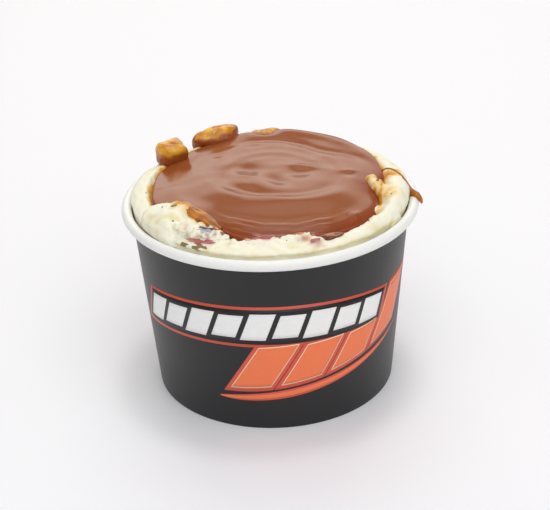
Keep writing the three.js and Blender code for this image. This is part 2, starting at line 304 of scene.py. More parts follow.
def printed_patch(name, low, high, level, ink, along=60, across=6):
    """A patch of ink between two curves (s, z) of u from 0 to 1, straight across from one to the other."""
    u = np.linspace(0, 1, along)
    v = np.linspace(0, 1, across)[:, None]
    (s0, z0), (s1, z1) = low(u), high(u)
    s, z = s0 + (s1 - s0) * v, z0 + (z1 - z0) * v
    points, faces = slab(on_wall(s, z, INK * level), on_wall(s, z, -0.05))
    patch = build(name, points, faces, ink)
    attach(patch, "root")
    return patch


def ink_material(name, code, variation):
    """Opaque flexographic ink under the same satin varnish, a shade uneven where the fibres drink it."""
    made = new_material(name)
    spot = add(made, "ShaderNodeTexCoord").outputs["Object"]
    uneven = add(made, "ShaderNodeTexNoise", {"Vector": spot, "Scale": 700.0, "Detail": 4.0}).outputs["Fac"]
    tone = add(made, "ShaderNodeMix", {
        "Factor": uneven, "A": srgb(code), "B": srgb(variation)}, data_type="RGBA").outputs["Result"]
    film = add(made, "ShaderNodeBsdfPrincipled", {
        "Base Color": tone, "Roughness": 0.42, "IOR": 1.5}).outputs["BSDF"]
    add(made, "ShaderNodeOutputMaterial", {"Surface": film})
    return made


white_ink = ink_material("white printing ink", "#FDFDFC", "#F4F4F1")
outline_ink = ink_material("red-orange printing ink", "#DC523C", "#E45E46")
orange_ink = ink_material("orange printing ink", "#F87844", "#FC8452")
cream_ink = ink_material("cream printing ink", "#F6DDB4", "#FBE8C8")
black_ink = ink_material("black printing ink", "#0E0E10", "#151518")

BAND_LEFT, BAND_RIGHT = -46.0, 36.0
BAND_HALF = 4.6
SLANT = 0.36


def band_middle(s):
    """Height of the band's middle: level near the front, curving down towards its two ends."""
    return 37.1 - 0.0017 * np.minimum(s + 4, 0) ** 2 - 0.0012 * np.maximum(s, 0) ** 2


def band_edge(left, right, offset):
    """One edge of a stretch of the band, offset from its middle and slanted like the blocks."""
    def edge(u):
        s = left + (right - left) * u
        reach = offset * (1 - 0.2 * np.clip(s / 36, 0, 1) ** 2)
        return s + SLANT * reach, band_middle(s) + reach
    return edge


for name, grow, level, ink in (("band_outline", 2.5, 1, outline_ink), ("band_ground", 1.5, 2, black_ink)):
    reach = BAND_HALF + grow
    low = band_edge(BAND_LEFT - grow, BAND_RIGHT + grow, -reach)
    high = band_edge(BAND_LEFT - grow, BAND_RIGHT + grow, reach)
    printed_patch(name, low, high, level, ink, along=120)

BLOCKS = 9
BLOCK_GAP = 1.6
pitch = (BAND_RIGHT - BAND_LEFT + BLOCK_GAP) / BLOCKS
for i in range(BLOCKS):
    left = BAND_LEFT + i * pitch
    reach = BAND_HALF - 0.7 * (i % 2)
    low = band_edge(left, left + pitch - BLOCK_GAP, -reach)
    high = band_edge(left, left + pitch - BLOCK_GAP, reach)
    printed_patch(f"band_block_{i}", low, high, 3, white_ink, along=16)

BAR_HEADS = (30.4, 30.6, 30.8, 40.5)
BAR_LEFT, BAR_PITCH, BAR_GAP = -15.0, 15.5, 2.0
BAR_SLANT = 0.6


def bar_foot(s):
    """The bars' lower ends: a line that rises faster and faster to the right."""
    return 14.0 + 0.05 * (s + 16) + 0.0024 * (s + 16) ** 2


def bar_edge(left, right, inset, head=None):
    """The foot of one slanted bar, or its head at a given height, pulled in by an inset."""
    def edge(u):
        s = left + inset + (right - left - 2 * inset) * u
        foot = bar_foot(s)
        z = foot + inset if head is None else head - inset + 0.06 * (s - left)
        return s + BAR_SLANT * (z - foot), z
    return edge


for i in range(len(BAR_HEADS)):
    left = BAR_LEFT + i * BAR_PITCH
    right = left + BAR_PITCH - BAR_GAP
    for name, inset, level, ink in (
            ("edge", -0.9, 1, outline_ink), ("inline", 0.5, 2, cream_ink), ("face", 0.85, 3, orange_ink)):
        low, high = bar_edge(left, right, inset), bar_edge(left, right, inset, BAR_HEADS[i])
        printed_patch(f"bar_{name}_{i}", low, high, level, ink, along=24, across=12)


def sweep_edge(offset):
    """The underline: it follows the bars' feet a little below, and tapers to a point at each end."""
    def edge(u):
        s = -18 + 66 * u
        taper = np.sin(math.pi * u ** 0.7) ** 0.8
        return s, bar_foot(s) - 3.0 + offset * taper
    return edge


for name, half, level, ink in (("sweep_outline", 1.5, 1, outline_ink), ("sweep", 0.8, 2, orange_ink)):
    printed_patch(name, sweep_edge(-half), sweep_edge(half), level, ink, along=90)

# ---- Mash -------------------------------------------------------------------------------------------
# Potato boiled with bits of its skin and mashed by hand with butter, scooped into the cup until it
# stands above the rim: a ring pressed round the pool, a torn scoop at the front left, and a curled
# tongue at the right. It holds its shape by its own stiffness.
FILL_TOP = 50.0
CORE_RADIUS = 27.0


def around(knots):
    """A smooth closed curve of the angle through (degrees, value) knots: cubic Hermite, with each
    knot's slope taken from its two neighbours."""
    degrees, values = np.array(knots, float).T
    degrees = np.concatenate([degrees[-2:] - 360, degrees, degrees[:2] + 360])
    values = np.concatenate([values[-2:], values, values[:2]])
    slopes = np.gradient(values, degrees)

    def at(angle):
        turn = np.degrees(angle) % 360
        k = np.clip(np.searchsorted(degrees, turn, "right") - 1, 0, len(degrees) - 2)
        width = degrees[k + 1] - degrees[k]
        t = (turn - degrees[k]) / width
        rise = values[k] * (1 + 2 * t) * (1 - t) ** 2 + values[k + 1] * t * t * (3 - 2 * t)
        return rise + width * (slopes[k] * t * (1 - t) ** 2 - slopes[k + 1] * t * t * (1 - t))
    return at


gravy_radius = around([
    (5, 35.2), (24, 36.2), (42, 36.6), (61, 37.2), (84, 37.6), (99, 37.2), (118, 36.6), (140, 36.4),
    (155, 36.6), (170, 36.3), (194, 36.4), (218, 34.5), (240, 31.5), (254, 32.4), (270, 32.6),
    (284, 33.4), (296, 35.4), (305, 35.4), (318, 36.8), (331, 36.6), (345, 34.6)])
gravy_edge = around([
    (5, 4.9), (24, 6.1), (42, 6.4), (61, 6.6), (84, 7.1), (99, 6.9), (118, 5.6), (140, 4.9), (155, 3.9),
    (170, 3.4), (194, 3.1), (218, 2.8), (240, 1.9), (254, 1.1), (270, 0.7), (284, 0.6), (296, 0.3),
    (305, 0.7), (318, 1.1), (331, 1.7), (345, 3.0)])
crest_radius = around([
    (0, 39.6), (60, 39.6), (100, 39.6), (140, 39.0), (180, 39.2), (220, 39.4), (240, 38.8), (270, 37.9),
    (300, 38.9), (330, 40.0)])
crest_height = around([
    (0, 5.4), (20, 4.6), (42, 3.7), (60, 3.7), (84, 4.0), (100, 3.8), (120, 3.4), (140, 3.6), (160, 3.7),
    (180, 3.5), (200, 3.1), (220, 2.2), (240, 1.6), (255, 1.4), (270, 1.7), (284, 1.9), (296, 1.3),
    (307, 2.3), (317, 3.1), (330, 4.1), (345, 5.3)])
bulge_radius = around([
    (0, 43.0), (45, 42.6), (90, 42.6), (135, 42.6), (170, 42.9), (200, 42.7), (230, 42.4), (270, 42.1),
    (300, 42.3), (330, 42.9)])


def gradient_noise(points, size, seed):
    """Perlin noise, about -1 to 1: each lattice point of the given spacing holds a random direction;
    its dot product with the offset is blended over the cell by 6t^5 - 15t^4 + 10t^3."""
    draw = np.random.default_rng(seed)
    directions = draw.normal(size=(256, 3))
    directions /= np.linalg.norm(directions, axis=1)[:, None]
    order = draw.permutation(256)
    cell = points / size
    base = np.floor(cell).astype(np.int64)
    offset = cell - base
    ease = offset ** 3 * (offset * (offset * 6 - 15) + 10)
    total = np.zeros(len(points))
    for corner in itertools.product((0, 1), repeat=3):
        key = (base + corner) % 256
        pick = order[(order[(order[key[:, 0]] + key[:, 1]) % 256] + key[:, 2]) % 256]
        weight = np.where(np.array(corner) == 1, ease, 1 - ease).prod(1)
        total += weight * (directions[pick] * (offset - corner)).sum(1)
    return total * 1.7


def through(controls, rows):
    """Rows of a smooth curve through control rows, evenly numbered: Catmull-Rom, taken for all
    columns at once."""
    ends = np.concatenate([2 * controls[:1] - controls[1:2], controls, 2 * controls[-1:] - controls[-2:-1]])
    place = np.linspace(0, len(controls) - 1, rows)
    k = np.minimum(place.astype(int), len(controls) - 2)
    t = (place - k)[:, None, None]
    a, b, c, d = ends[k], ends[k + 1], ends[k + 2], ends[k + 3]
    bend, twist = 2 * a - 5 * b + 4 * c - d, 3 * b - a - 3 * c + d
    return 0.5 * (2 * b + (c - a) * t + bend * t ** 2 + twist * t ** 3)


def ring_of_mash(count=360, rows=90):
    """The ring as a closed tube round Z: at each angle a section through its wall, bulge, crest and
    the slope under the gravy, and back along its hidden underside."""
    angle = np.linspace(0, 2 * math.pi, count, endpoint=False)
    rc, hc, rb = crest_radius(angle), crest_height(angle), bulge_radius(angle)
    rg, hg = gravy_radius(angle), gravy_edge(angle)
    inside = wall_radius(FILL_TOP) - BOARD - 0.1
    one = np.ones(count)
    controls = np.stack([
        np.stack([inside * one, FILL_TOP * one]),
        np.stack([inside * one + 0.3, 55.0 * one]),
        np.stack([42.0 * one, 58.6 * one]),
        np.stack([rb - 0.45, RIM_TOP - 0.2 + 0 * rb]),
        np.stack([rb, RIM_TOP + 0.35 * hc + 0.2]),
        np.stack([0.45 * rb + 0.55 * rc + 0.5, RIM_TOP + 0.82 * hc]),
        np.stack([rc, RIM_TOP + hc]),
        np.stack([0.5 * (rc + rg), RIM_TOP + 0.5 * (hc + hg) + 0.1]),
        np.stack([rg - 0.6, RIM_TOP + hg - 1.5]),
        np.stack([rg - 5.0, RIM_TOP + hg - 2.0]),
        np.stack([CORE_RADIUS * one, RIM_TOP + 0.0 * one]),
    ]).transpose(0, 2, 1)
    curve = through(controls, rows)
    outward = 1 - np.linspace(1, 0, 14)[1:, None]
    floor_radius = (CORE_RADIUS + (inside - CORE_RADIUS) * outward) * one
    floor = np.stack([floor_radius, np.full_like(floor_radius, FILL_TOP)], -1)
    back = np.stack([CORE_RADIUS * one, (FILL_TOP + 5) * one], -1)[None]
    profile = np.concatenate([curve, back, floor[:-1]])
    points = np.stack([profile[..., 0] * np.cos(angle), profile[..., 0] * np.sin(angle), profile[..., 1]], -1)
    return points.reshape(-1, 3), grid_faces(len(profile), count, wrap_rows=True, wrap_cols=True).tolist()


def lump(at, half, turn=0.0, boxy=1.0, seed=0.0, tip=0.0, rough=0.06, rows=28, cols=44):
    """A closed lump: an ellipsoid whose sines and cosines are raised to the power boxy, swollen
    unevenly by waves round it, tipped about its own Y and turned about Z. Height is above the rim."""
    lift = np.linspace(-math.pi / 2, math.pi / 2, rows + 2)[1:-1, None]
    angle = np.linspace(0, 2 * math.pi, cols, endpoint=False)[None]

    def power(value):
        return np.sign(value) * np.abs(value) ** boxy
    waves = np.sin(3 * angle + seed) * np.cos(lift) + 0.7 * np.sin(4 * lift + 2 * angle + 2 * seed)
    swell = 1 + rough * waves
    x = half[0] * swell * power(np.cos(lift)) * power(np.cos(angle))
    y = half[1] * swell * power(np.cos(lift)) * power(np.sin(angle))
    z = half[2] * swell * power(np.sin(lift)) * np.ones_like(angle)
    local = np.stack([x, y, z], -1)
    poles = np.array([[0, 0, -half[2]], [0, 0, half[2]]], float)
    spin = np.array(
        Matrix.Rotation(math.radians(turn), 3, "Z") @ Matrix.Rotation(math.radians(tip), 3, "Y"))
    centre = np.array([at[0], at[1], RIM_TOP + at[2]])
    return shell(local @ spin.T + centre, poles[0] @ spin.T + centre, poles[1] @ spin.T + centre)


def fused(name, parts, voxel, material):
    """One skin round several overlapping closed shells, by a voxel remesh of the given grid."""
    points, faces, start = [], [], 0
    for part_points, part_faces in parts:
        points.append(part_points)
        faces += [[corner + start for corner in face] for face in part_faces]
        start += len(part_points)
    made = build(name, np.vstack(points), faces, material)
    remesh = made.modifiers.new("fuse", "REMESH")
    remesh.mode = "VOXEL"
    remesh.voxel_size = voxel * MM
    graph = bpy.context.evaluated_depsgraph_get()
    skin = bpy.data.meshes.new_from_object(made.evaluated_get(graph))
    made.modifiers.clear()
    made.data = skin
    skin.shade_smooth()
    return made


def vertices(piece):
    """The mesh's points, in millimetres, and its unit normals."""
    count = len(piece.data.vertices)
    points, normals = np.empty(count * 3), np.empty(count * 3)
    piece.data.vertices.foreach_get("co", points)
    piece.data.vertices.foreach_get("normal", normals)
    return points.reshape(-1, 3) / MM, normals.reshape(-1, 3)


def move(piece, points):
    """Puts the mesh's points at new places, given in millimetres."""
    piece.data.vertices.foreach_set("co", (points * MM).ravel())
    piece.data.update()


def near(points, places, reach):
    """1 at any of the places, given as (x, y, height above the rim), falling to 0 at the reach."""
    centres = np.array(places, float) + (0, 0, RIM_TOP)
    distance = np.sqrt(((points[:, None] - centres[None]) ** 2).sum(2)).min(1)
    return np.clip(1 - distance / reach, 0, 1)


def eased(value):
    """Smooth step of a value from 0 to 1: 3 v^2 - 2 v^3."""
    return value * value * (3 - 2 * value)


def paint(piece, name, values):
    """Stores a number for each point, which the piece's material reads by name."""
    layer = piece.data.attributes.new(name, "FLOAT", "POINT")
    layer.data.foreach_set("value", np.asarray(values, np.float32))


# Mashed potato: moist starch, pale cream, cloudy and soft-lit from inside, with painted yellow shade
# in its creases and on its low side by the rim, amber where gravy has soaked in, and pink where a bit
# of red skin has bled.
mash_look = new_material("buttered mashed potato")
where = add(mash_look, "ShaderNodeTexCoord").outputs["Object"]
clots = add(mash_look, "ShaderNodeTexNoise", {
    "Vector": where, "Scale": 260.0, "Detail": 5.0, "Roughness": 0.6}).outputs["Fac"]
grains = add(mash_look, "ShaderNodeTexNoise", {
    "Vector": where, "Scale": 1500.0, "Detail": 3.0}).outputs["Fac"]
painted_shade = add(mash_look, "ShaderNodeAttribute", attribute_name="painted_shade").outputs["Fac"]
soaked = add(mash_look, "ShaderNodeAttribute", attribute_name="soaked").outputs["Fac"]
blush = add(mash_look, "ShaderNodeAttribute", attribute_name="blush").outputs["Fac"]
cream = add(mash_look, "ShaderNodeMix", {
    "Factor": clots, "A": srgb("#F6EFD2"), "B": srgb("#FBF8EA")}, data_type="RGBA").outputs["Result"]
# Painted shade: the cream turns a dull yellow in the mash's creases and on its low side by the rim.
shaded_cream = add(mash_look, "ShaderNodeMix", {
    "Factor": painted_shade, "A": cream, "B": srgb("#E2D48E")}, data_type="RGBA").outputs["Result"]
pink = add(mash_look, "ShaderNodeMix", {
    "Factor": blush, "A": shaded_cream, "B": srgb("#C98476")}, data_type="RGBA").outputs["Result"]
stain = add(mash_look, "ShaderNodeMix", {
    "Factor": soaked, "A": srgb("#F5D044"), "B": srgb("#DC9434")}, data_type="RGBA").outputs["Result"]
spread = add(mash_look, "ShaderNodeMapRange", {"Value": soaked, "From Max": 0.75}).outputs["Result"]
stained = add(mash_look, "ShaderNodeMix", {
    "Factor": spread, "A": pink, "B": stain}, data_type="RGBA").outputs["Result"]
wet = add(mash_look, "ShaderNodeMapRange", {"Value": soaked, "To Min": 0.5, "To Max": 0.2}).outputs["Result"]
relief = add(mash_look, "ShaderNodeBump", {
    "Height": grains, "Strength": 0.35, "Distance": 0.00012}).outputs["Normal"]
surface = add(mash_look, "ShaderNodeBsdfPrincipled", {
    "Base Color": stained, "Roughness": wet, "Normal": relief,
    "IOR": 1.4, "Subsurface Weight": 0.35,
    "Subsurface Radius": (1.0, 0.75, 0.4), "Subsurface Scale": 0.0022}).outputs["BSDF"]
add(mash_look, "ShaderNodeOutputMaterial", {"Surface": surface})

TORN = [
    lump((-30.6, -19.8, 1.5), (7.2, 9.0, 5.2), 18, seed=0.4),
    lump((-27.0, -18.0, 2.6), (5.6, 6.0, 4.3), -20, seed=1.9),
    lump((-22.8, -22.2, 0.6), (5.6, 5.2, 3.8), -30, seed=3.0),
    lump((-18.6, -26.6, -0.4), (4.6, 4.0, 2.5), -28, seed=4.4),
    lump((-27.4, -25.2, 0.2), (7.2, 5.9, 3.8), -38, seed=5.6),
    lump((-22.8, -30.4, -0.9), (6.2, 3.4, 2.5), -34, seed=2.2),
    lump((-20.0, -22.4, 1.6), (5.4, 3.2, 3.3), -47, seed=1.2),
    lump((-15.9, -26.6, 0.3), (3.8, 2.4, 2.6), -50, seed=2.7),
]
CURL = [
    lump((31.2, -1.6, 3.6), (2.2, 2.6, 2.5), 16, seed=1.1),
    lump((32.6, -4.2, 3.3), (2.6, 3.3, 2.6), 28, seed=2.0),
    lump((34.6, -7.0, 2.8), (3.0, 3.7, 2.7), 36, seed=2.9),
    lump((36.8, -9.8, 1.5), (3.8, 5.2, 3.1), 25, seed=3.8),
    lump((38.6, -3.2, 2.0), (3.3, 6.2, 3.6), 6, seed=4.7),
    lump((37.4, 4.8, 2.0), (3.0, 5.0, 3.2), -14, seed=5.5),
    lump((34.4, -17.6, -0.3), (4.0, 6.6, 2.9), 32, seed=6.6),
]
FRONT = [
    lump((-9.5, -36.8, -0.1), (6.2, 2.7, 1.8), -8, seed=0.9),
    lump((2.6, -36.4, 0.2), (6.0, 2.9, 2.1), 4, seed=1.8),
    lump((11.4, -35.4, 0.3), (4.2, 2.9, 2.1), 16, seed=2.6),
    lump((24.2, -31.0, 0.2), (4.4, 2.6, 2.0), 38, seed=3.3),
]


def clods(path, spread, sizes, count, seed):
    """Small torn clods: centres drawn along a path of (x, y, height above the rim), scattered by the
    spread, with half sizes drawn between the two given and a random turn and tip."""
    draw = np.random.default_rng(seed)
    path = np.array(path, float)
    place = draw.uniform(0, len(path) - 1, count)
    made = []
    for t, jitter, size, stretch, turn, tip in zip(
            place, draw.normal(size=(count, 3)), draw.uniform(*sizes, count),
            draw.uniform(0.7, 1.4, (count, 3)), draw.uniform(0, 180, count), draw.uniform(-40, 40, count)):
        k = min(int(t), len(path) - 2)
        at = path[k] + (path[k + 1] - path[k]) * (t - k) + jitter * spread
        made.append(lump(
            tuple(at), tuple(size * stretch), turn, seed=t, tip=tip, rough=0.16, rows=8, cols=12))
    return made


def settle(piece, smooth_amount, torn_amount):
    """Works the mash's surface: along each normal it adds broad rolls (9 mm), folds (4 mm), clods
    (2 mm) and crumbs (0.9 mm) of noise and creases where a fold's noise crosses zero, the last
    three stronger where torn; then it pushes whatever touches the rolled rim back out of it."""
    points, normals = vertices(piece)
    above = np.clip((points[:, 2] - (RIM_TOP - 1.0)) / 1.5, 0, 1)
    torn = torn_amount(points)
    broad, folds = gradient_noise(points, 9.0, 1), gradient_noise(points * (1, 1, 1.6), 4.2, 2)
    knobs, fine = gradient_noise(points, 2.1, 3), gradient_noise(points, 0.95, 4)
    creases = 0.25 - np.abs(gradient_noise(points, 3.4, 5))
    shift = smooth_amount * (0.9 * broad + 0.5 * folds) - 0.05
    shift += (0.1 + 0.34 * torn) * knobs + (0.05 + 0.24 * torn) * fine + (0.28 + 0.6 * torn) * creases
    points = points + normals * (shift * above)[:, None]
    radial = np.hypot(points[:, 0], points[:, 1])
    too_wide = (radial > CURL_CENTRE_R - 1.0) & (points[:, 2] > FLARE_START_Z)
    points[:, :2] *= np.where(too_wide, (CURL_CENTRE_R - 1.0) / radial, 1)[:, None]
    radial = np.hypot(points[:, 0], points[:, 1])
    from_roll = np.stack([radial - CURL_CENTRE_R, points[:, 2] - CURL_CENTRE_Z], 1)
    gap = np.linalg.norm(from_roll, axis=1)
    sunk = (gap < CURL_RADIUS + 0.05) & (points[:, 2] > FLARE_START_Z)
    clear = np.array([CURL_CENTRE_R, CURL_CENTRE_Z]) + from_roll / gap[:, None] * (CURL_RADIUS + 0.05)
    points[:, :2] *= np.where(sunk, clear[:, 0] / radial, 1)[:, None]
    points[:, 2] = np.where(sunk, clear[:, 1], points[:, 2])
    move(piece, points)
    radial = np.hypot(points[:, 0], points[:, 1])
    # Painted shade, stored for the material: yellow on the mash's low side by the rim, more to the right, and
    # in its creases, with a little of the broad rolls' noise mixed in.
    low_side = np.clip((RIM_TOP + 2.0 - points[:, 2]) / 2.6, 0, 1) * np.clip((radial - 39.8) / 2.2, 0, 1)
    right_side = 0.3 + 0.8 * np.clip((points[:, 0] - 6) / 22, 0, 1)
    painted_shade = right_side * low_side + 0.8 * np.clip(-creases * 1.3, 0, 1) + 0.3 * broad - 0.14
    paint(piece, "painted_shade", np.clip(painted_shade, 0, 1) * above)
    return points, normals, above, knobs, folds


def crumbly(points):
    """Where the ring is crumbly: along its front, most on the side towards the pool."""
    angle = np.arctan2(points[:, 1], points[:, 0])
    radial = np.hypot(points[:, 0], points[:, 1])
    along = np.clip(1.5 - np.abs(angle + 1.42) / 0.5, 0, 1)
    return 0.75 * along * np.clip((41.0 - radial) / 4.0, 0.1, 1)


heap = fused("mash_ring", [
    ring_of_mash(), *CURL, *FRONT,
    *clods([(-10, -34.6, 1.0), (-2, -35.2, 1.3), (6, -34.8, 1.6), (13, -34.6, 1.4)], (0.9, 0.7, 0.3),
           (0.5, 1.3), 90, 21),
    *clods([(22, -32.4, 0.9), (26, -29.0, 1.6), (31.0, -23.0, 2.0)], (0.5, 0.5, 0.25), (0.4, 0.8), 24, 22),
], 0.42, mash_look)
points, normals, above, knobs, folds = settle(heap, 0.42, crumbly)
angle = np.arctan2(points[:, 1], points[:, 0])
edge_gap = np.hypot(points[:, 0], points[:, 1]) - gravy_radius(angle)
at_pool = np.clip(1 - np.abs(edge_gap - 0.1) / (1.3 + 0.9 * folds), 0, 1)
curl_stain = near(points, [(30.4, -2.0, 5.0), (30.8, -4.0, 4.2), (32.2, -7.0, 3.6), (33.4, -9.4, 3.4)], 3.0)
behind_curl = near(points, [(34.6, 1.6, 4.6), (36.4, 2.2, 4.8), (33.6, 0.0, 4.6), (38.4, 2.6, 5.0)], 3.4)
curl_yellow = near(points, [(29.6, -1.8, 4.6), (31.4, -4.6, 4.6), (33.4, -7.4, 4.0), (35.6, -10.0, 3.0)], 6.5)
soak = np.maximum.reduce([1.1 * at_pool, 1.5 * curl_stain - 0.3, 1.9 * behind_curl, 0.7 * eased(curl_yellow)])
paint(heap, "soaked", np.clip(soak * (0.8 + 0.5 * knobs), 0, 1) * above)
pinks = [(-4.4, -33.6, 1.0), (-1.6, -33.8, 1.0), (9.4, -35.4, 2.0), (11.6, -36.8, 2.0), (13.4, -37.4, 1.4)]
paint(heap, "blush", np.clip(eased(near(points, pinks, 3.0)) * (0.7 + 0.8 * knobs), 0, 1) * above)
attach(heap, "root")
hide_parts("mash")

# The torn scoop at the front left, set on the ring: smooth where the spoon pressed it, crumbling
# where it broke open.


def broken(points):
    """Where the scoop broke open: its face towards the front and the pool."""
    return eased(near(
        points, [(-19, -27, 2), (-16, -30, 1), (-22, -30, 3), (-22, -25, 4), (-26, -28, 4)], 7.5))


scoop = fused("mash_scoop", [
    *TORN,
    *clods([(-27.0, -28.6, 3.6), (-23.4, -28.4, 2.8), (-19.8, -29.6, 1.8), (-16.0, -31.4, 1.2)],
           (1.2, 1.1, 0.7), (0.5, 1.3), 110, 31),
    *clods([(-20.6, -26.8, 4.2), (-18.2, -29.0, 2.6), (-13.6, -31.8, 1.4)],
           (0.6, 0.6, 0.3), (0.4, 0.9), 44, 32),
], 0.3, mash_look)
points, normals, above, knobs, folds = settle(scoop, 0.36, broken)
flank = near(points, [(-26, -16.5, 6.6), (-23.4, -18.6, 5.6), (-20.6, -21.6, 4.8), (-18.0, -24.6, 3.6)], 4.4)
paint(scoop, "soaked", np.clip(1.7 * flank * (0.8 + 0.5 * knobs), 0, 1) * above)
pinks = [
    (-21.5, -32.8, 1.5), (-18.2, -33.2, 1.3), (-22.4, -34.0, 1.0), (-19.6, -28.6, 3.2),
    (-24.6, -28.6, 3.4), (-17.0, -30.6, 2.4)]
paint(scoop, "blush", np.clip(eased(near(points, pinks, 2.6)) * (0.6 + 0.9 * knobs), 0, 1) * above)
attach(scoop, "root")
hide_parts("mash")

fill_inside = wall_radius(FILL_TOP) - BOARD - 0.1
fill_section = np.vstack([
    line((6, DISC_TOP + 0.25), (wall_radius(DISC_TOP) - BOARD - 1.2, DISC_TOP + 0.25), 8),
    line((wall_radius(DISC_TOP + 1) - BOARD - 0.1, DISC_TOP + 1.2), (fill_inside, FILL_TOP - 0.05), 16),
    line((fill_inside - 0.4, FILL_TOP - 0.03), (CORE_RADIUS - 0.1, FILL_TOP - 0.03), 6),
    line((CORE_RADIUS - 0.1, FILL_TOP + 1), (CORE_RADIUS - 0.1, RIM_TOP - 0.2), 6),
    line((CORE_RADIUS - 1.0, RIM_TOP + 0.6), (4, RIM_TOP + 1.7), 8),
])
fill_points, fill_faces = shell(turned(fill_section, 128), (0, 0, DISC_TOP + 0.25), (0, 0, RIM_TOP + 1.7))
fill = build("mash_fill", fill_points, fill_faces, mash_look)
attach(fill, "root")
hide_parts("mash")

# ---- Gravy -------------------------------------------------------------------------------------------
# Brown gravy thickened with starch, ladled warm into the hollow and swirled with the back of the
# spoon. It has set enough to keep the spoon's track and dimples, with a lip pushed up along its back
# edge and a skin that wrinkles where it slides down at the front.
GRAVY_CENTRE = 6.2
groove_radius = around([
    (20, 32.0), (38, 28.2), (53, 26.6), (65, 27.6), (76, 28.8), (89, 29.6), (105, 29.4), (180, 29.4),
    (270, 29.4)])


def bump(x, y, at, wide, tall, turn=0.0):
    """A soft oval bump: exp of minus half the squared distance, measured in its own half sizes."""
    c, s = math.cos(math.radians(turn)), math.sin(math.radians(turn))
    u, v = ((x - at[0]) * c + (y - at[1]) * s) / wide, ((y - at[1]) * c - (x - at[0]) * s) / tall
    return np.exp(-0.5 * (u * u + v * v))


def bell(value, middle, width):
    """exp of minus the square of the distance from the middle, counted in widths."""
    return np.exp(-((value - middle) / width) ** 2)


DENTS = [
    ((-6.4, 7.8), 0.88, 3.7, 2.6, -30), ((9.6, 3.4), 0.76, 3.2, 2.5, -8), ((2.0, -1.8), 0.6, 3.6, 1.8, -42),
    ((-4.8, -8.6), 0.85, 4.0, 2.1, -28), ((24.6, 0.8), 0.2, 1.3, 1.0, 0), ((-4.2, 25.0), 0.22, 1.7, 1.1, 0),
    ((-16.2, 19.0), 0.12, 1.5, 1.2, 0), ((-14.2, 1.0), 0.30, 1.9, 4.6, 8)]
RIDGES = [
    ((11.2, 7.4), 0.36, 4.4, 1.1, -20), ((-10.8, 12.2), 0.22, 3.0, 1.5, 38),
    ((-7.4, 1.8), 0.22, 2.6, 1.2, -16), ((-1.4, -13.8), 0.26, 4.4, 1.2, -14),
    ((1.0, 8.6), 0.14, 2.2, 1.4, 0), ((24.4, 3.4), 0.2, 1.8, 0.8, 0)]


def gravy_height(x, y):
    """Height of the gravy's surface above the rim: a dome that rolls off to its edge; the spoon's
    track, a ridge and trough round (1, 3) that open out to the right; fainter rings at the back;
    dents and ridges as oval bumps; the groove and lip along the back; wrinkles at the front."""
    r, a = np.hypot(x, y), np.arctan2(y, x)
    u = np.clip(r / gravy_radius(a), 0, 1)
    front, back = np.clip(-np.sin(a), 0, 1), np.clip(np.sin(a - 0.12) * 1.6, 0, 1)
    height = GRAVY_CENTRE + (gravy_edge(a) - 0.4 * back - GRAVY_CENTRE) * u ** (3.3 + 0.9 * front)
    turn = np.arctan2(y - 3, x - 1)
    opening = eased(np.clip((turn + 1.66) / 1.4, 0, 1)) * (turn < 0.6)
    track = np.hypot(x - 1, y - 3) - 5.5 * opening
    facing = np.clip(0.55 - 0.75 * np.sin(turn + 0.15), 0, 1)
    height = height + facing * (
        0.36 * bell(track, 19.4, 2.6) - 0.34 * bell(track, 26.4, 3.0) + 0.24 * bell(track, 31.4, 2.0)
        - 0.26 * bell(track, 14.4, 2.2))
    phase = 2 * math.pi * track / 5.2 + 1.0 + 0.9 * np.sin(turn * 2)
    height = height + 0.06 * np.sin(phase) * bell(track, 15.5, 5.0) * (1 - facing)
    slow = gradient_noise(np.stack([x, y * 1.5, 0 * x], -1).reshape(-1, 3), 9.0, 12).reshape(np.shape(x))
    height = height + 0.12 * slow * (1 - u ** 6)
    for at, depth, wide, tall, angle in DENTS:
        height = height - depth * bump(x, y, at, wide, tall, angle)
    for at, rise, wide, tall, angle in RIDGES:
        height = height + rise * bump(x, y, at, wide, tall, angle)
    groove, lip = groove_radius(a), back * eased(np.clip((2.1 - a) / 0.7, 0, 1))
    height = height - (0.15 * back + 0.4 * lip) * bell(r, groove, 1.9)
    height = height + 0.7 * lip * bell(r, gravy_radius(a) - 2.2, 2.6)
    height = height - 1.2 * bump(x, y, (-0.6, 35.6), 2.8, 1.6)
    right = np.clip(1 - np.abs(a + 0.4) / 0.75, 0, 1)
    height = height - 0.9 * eased(right) * np.clip((u - 0.86) / 0.14, 0, 1) ** 2
    skin = bell(r - 0.12 * x, 29.3, 2.4) * bump(x, y, (5.0, -28.4), 10.5, 4.4)
    wander = 0.22 * np.sin(x * 0.55) + 0.1 * np.sin(x * 1.3 + 2)
    height = height + 0.3 * skin * np.sin(2 * math.pi * (r - 0.13 * x + wander) / 2.1)
    blister = bump(x, y, (25.2, -22.6), 1.5, 1.1, 40)
    return height + 0.4 * blister + 0.12 * blister * np.sin(3.6 * x + 2.2 * y)


